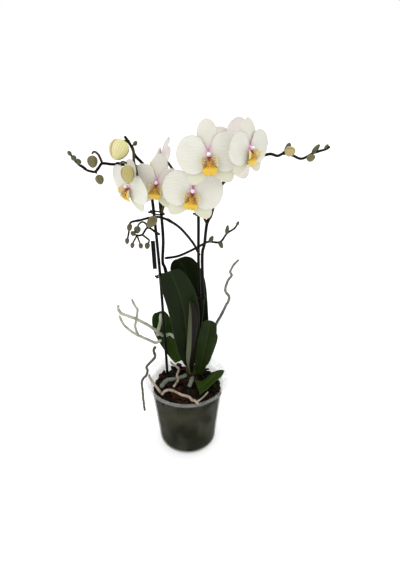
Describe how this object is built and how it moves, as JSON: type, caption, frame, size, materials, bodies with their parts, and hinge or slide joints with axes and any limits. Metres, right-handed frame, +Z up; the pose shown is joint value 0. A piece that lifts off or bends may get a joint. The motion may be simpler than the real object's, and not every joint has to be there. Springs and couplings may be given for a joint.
{
  "type": "potted orchid",
  "caption": "Moth orchid in a clear nursery pot of bark, with broad leaves, aerial roots and staked arching sprays of white flowers and buds.",
  "frame": {"origin": "centre of the pot's flat base, on the surface it stands on", "axes": "+Z up, the flowers face -Y, +X to the right seen from the front"},
  "size_m": [0.2772, 0.1448, 0.4952],
  "materials": {
    "pot": "milky translucent grey, slightly rough",
    "bark": "rough dark brown bark chips",
    "crown": "dry brown and green leaf sheaths",
    "leaf": "waxy dark green, paler beneath",
    "root": "matt silvery grey-green velamen",
    "stem": "smooth dark purple-brown",
    "bud": "satin olive and yellow-green",
    "stake": "black satin plastic",
    "tepal": "soft white with a faint pink centre",
    "lip": "yellow with orange-brown stripes"
  },
  "bodies": {
    "root": {"pot": "pot", "bark": "bark", "crown": "crown", "stake_tag": "stake", "stake_left": "stake", "stake_right": "stake", "leaf_back": "leaf", "leaf_front": "leaf", "leaf_folded": "leaf", "leaf_right": "leaf", "leaf_small": "leaf", "leaf_cut": "leaf", "leaf_left": "leaf", "root_left": "root", "root_left_low": "root", "root_over_rim": "root", "root_rim_pale": "root", "root_bed_back": "root", "root_bed_front": "root", "root_bed_thick": "root", "root_bed_short": "root", "root_right": "root", "spike_left": "stem", "spike_left_outer": "stem", "spike_left_lower": "stem", "spike_left_side": "stem", "spike_right": "stem", "spike_right_arch": "stem", "bud_top": "bud", "bud_hanging": "bud", "bud_curl": "bud", "bud_low": "bud", "bud_right": "bud", "bud_right_outer": "bud", "bud_arch": "bud", "clip_left_high": "stake", "clip_left_low": "stake", "clip_right_high": "stake", "clip_right_low": "stake", "flower_1_sepals": "tepal", "flower_1_petals": "tepal", "flower_1_lip": "lip", "flower_2_sepals": "tepal", "flower_2_petals": "tepal", "flower_2_lip": "lip", "flower_3_sepals": "tepal", "flower_3_petals": "tepal", "flower_3_lip": "lip", "flower_4_sepals": "tepal", "flower_4_petals": "tepal", "flower_4_lip": "lip", "flower_5_sepals": "tepal", "flower_5_petals": "tepal", "flower_5_lip": "lip", "flower_6_sepals": "tepal", "flower_6_petals": "tepal", "flower_6_lip": "lip", "flower_7_sepals": "tepal", "flower_7_petals": "tepal", "flower_7_lip": "lip"}
  },
  "joints": []
}
